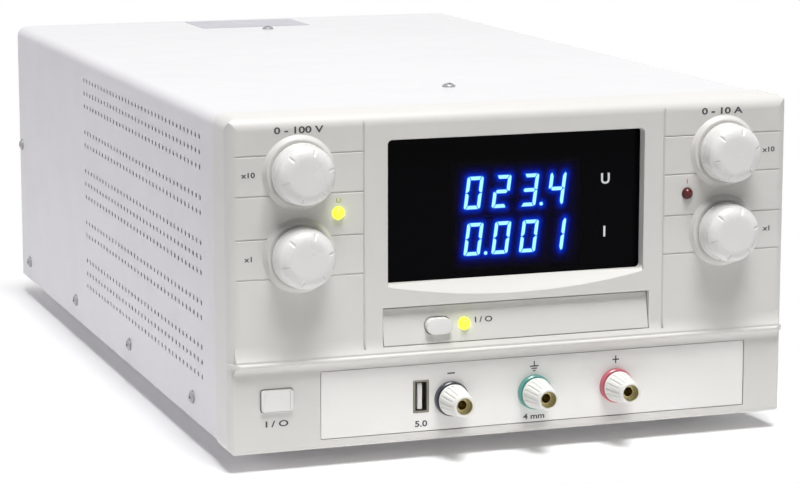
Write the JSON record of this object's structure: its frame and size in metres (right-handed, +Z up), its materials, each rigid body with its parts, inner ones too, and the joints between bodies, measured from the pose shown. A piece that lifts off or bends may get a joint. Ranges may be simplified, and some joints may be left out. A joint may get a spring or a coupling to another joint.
{
  "type": "laboratory power supply",
  "caption": "Bench power supply in a vented steel case: moulded front with control knobs, two-row digital display, push buttons, charging socket and binding posts, fan and inlet behind.",
  "frame": {"origin": "on the bench under the middle of the whole outline", "axes": "+X to the right seen from the front, +Y to the back, +Z up; the control panel faces -Y"},
  "size_m": [0.2568, 0.4494, 0.1509],
  "materials": {
    "bezel_plastic": "fine-grained off-white moulding",
    "plate_plastic": "smooth, a little lighter than the bezel",
    "cover_paint": "light lavender-grey powder coat",
    "zinc_steel": "bright zinc plate",
    "nickel": "nickel plate",
    "window_smoke": "polished smoked sheet",
    "display_black": "black",
    "digit_glow": "lit, blue-white",
    "board_green": "solder-masked glass laminate",
    "brass_spacer": "nickel-free brass",
    "foot_rubber": "soft grip",
    "knob_white": "polished white",
    "button_white": "smooth white",
    "lamp_green": "lit, clear green",
    "lamp_red": "unlit, tinted red",
    "switch_black": "moulded black",
    "socket_tongue": "white insert",
    "ring_black": "dark grey",
    "ring_green": "teal green",
    "ring_red": "pink-red",
    "cap_white": "white moulding",
    "post_brass": "plated brass",
    "sink_aluminium": "extruded, clear anodised",
    "package_black": "moulded package",
    "ferrite": "pressed ferrite",
    "winding_tape": "taped winding",
    "capacitor_sleeve": "shrunk sleeve",
    "fan_black": "glass-filled black",
    "fuse_glass": "clear tube"
  },
  "bodies": {
    "case": {"front_bezel": "bezel_plastic", "terminal_plate": "plate_plastic", "control_strip": "bezel_plastic", "display_window": "window_smoke", "display_modules": "display_black", "digit_bars": "digit_glow", "control_board": "board_green", "board_spacers": "brass_spacer", "inner_panel": "zinc_steel", "bezel_screws": "nickel", "top_cover": "cover_paint", "floor_pan": "cover_paint", "rear_panel": "cover_paint", "cover_brackets": "zinc_steel", "case_screws": "nickel", "back_screws": "nickel", "feet": "foot_rubber", "foot_screws": "zinc_steel", "potentiometers": "zinc_steel", "power_switch": "switch_black", "output_switch": "switch_black", "green_lamps": "lamp_green", "red_lamp": "lamp_red", "usb_shell": "nickel", "usb_tongue": "socket_tongue", "negative_ring": "ring_black", "negative_stem": "post_brass", "ground_ring": "ring_green", "ground_stem": "post_brass", "positive_ring": "ring_red", "positive_stem": "post_brass", "main_board": "board_green", "heat_sinks": "sink_aluminium", "power_transistors": "package_black", "transformer_core": "ferrite", "transformer_winding": "winding_tape", "bulk_capacitors": "capacitor_sleeve", "fan_frame": "fan_black", "fan_guard": "nickel", "mains_inlet": "switch_black", "inlet_pins": "nickel"},
    "voltage_coarse": {"voltage_coarse_knob": "knob_white", "voltage_coarse_shaft": "zinc_steel"},
    "voltage_fine": {"voltage_fine_knob": "knob_white", "voltage_fine_shaft": "zinc_steel"},
    "current_coarse": {"current_coarse_knob": "knob_white", "current_coarse_shaft": "zinc_steel"},
    "current_fine": {"current_fine_knob": "knob_white", "current_fine_shaft": "zinc_steel"},
    "power_key": {"power_button": "button_white"},
    "output_key": {"output_button": "button_white"},
    "negative_clamp": {"negative_washer": "nickel"},
    "negative_nut": {"negative_cap": "cap_white"},
    "ground_clamp": {"ground_washer": "nickel"},
    "ground_nut": {"ground_cap": "cap_white"},
    "positive_clamp": {"positive_washer": "nickel"},
    "positive_nut": {"positive_cap": "cap_white"},
    "impeller": {"fan_rotor": "fan_black"},
    "fuse_tray": {"fuse_drawer": "switch_black", "fuse": "fuse_glass"}
  },
  "joints": [
    {"name": "voltage_coarse_turn", "type": "hinge", "parent": "case", "child": "voltage_coarse", "pos_m": [-0.0966, -0.20935, 0.1265], "axis": [0, 1, 0], "range_deg": [-117, 183]},
    {"name": "voltage_fine_turn", "type": "hinge", "parent": "case", "child": "voltage_fine", "pos_m": [-0.0966, -0.20935, 0.0917], "axis": [0, 1, 0], "range_deg": [-150, 150]},
    {"name": "current_coarse_turn", "type": "hinge", "parent": "case", "child": "current_coarse", "pos_m": [0.0966, -0.20935, 0.1265], "axis": [0, 1, 0], "range_deg": [-150, 150]},
    {"name": "current_fine_turn", "type": "hinge", "parent": "case", "child": "current_fine", "pos_m": [0.0966, -0.20935, 0.0917], "axis": [0, 1, 0], "range_deg": [-150, 150]},
    {"name": "power_release", "type": "slide", "parent": "case", "child": "power_key", "axis": [0, 1, 0], "range_m": [-0.003, 0]},
    {"name": "output_press", "type": "slide", "parent": "case", "child": "output_key", "axis": [0, 1, 0], "range_m": [0, 0.0015], "stiffness_N_per_m": 400},
    {"name": "negative_clamp_lift", "type": "slide", "parent": "case", "child": "negative_clamp", "axis": [0, -1, 0], "range_m": [0, 0.0048]},
    {"name": "negative_cap_turn", "type": "hinge", "parent": "negative_clamp", "child": "negative_nut", "pos_m": [-0.029, -0.20935, 0.0256], "axis": [0, -1, 0], "range_deg": [0, 2160]},
    {"name": "ground_clamp_lift", "type": "slide", "parent": "case", "child": "ground_clamp", "axis": [0, -1, 0], "range_m": [0, 0.0048]},
    {"name": "ground_cap_turn", "type": "hinge", "parent": "ground_clamp", "child": "ground_nut", "pos_m": [0.0092, -0.20935, 0.0256], "axis": [0, -1, 0], "range_deg": [0, 2160]},
    {"name": "positive_clamp_lift", "type": "slide", "parent": "case", "child": "positive_clamp", "axis": [0, -1, 0], "range_m": [0, 0.0048]},
    {"name": "positive_cap_turn", "type": "hinge", "parent": "positive_clamp", "child": "positive_nut", "pos_m": [0.0474, -0.20935, 0.0256], "axis": [0, -1, 0], "range_deg": [0, 2160]},
    {"name": "fan_spin", "type": "hinge", "parent": "case", "child": "impeller", "pos_m": [0.052, 0.21065, 0.079], "axis": [0, 1, 0], "continuous": true},
    {"name": "fuse_tray_pull", "type": "slide", "parent": "case", "child": "fuse_tray", "axis": [0, 1, 0], "range_m": [0, 0.02]}
  ],
  "couplings": [
    {"joint": "negative_cap_turn", "follows": "negative_clamp_lift", "rad_per_m": 7853.9},
    {"joint": "ground_cap_turn", "follows": "ground_clamp_lift", "rad_per_m": 7853.9},
    {"joint": "positive_cap_turn", "follows": "positive_clamp_lift", "rad_per_m": 7853.9}
  ]
}
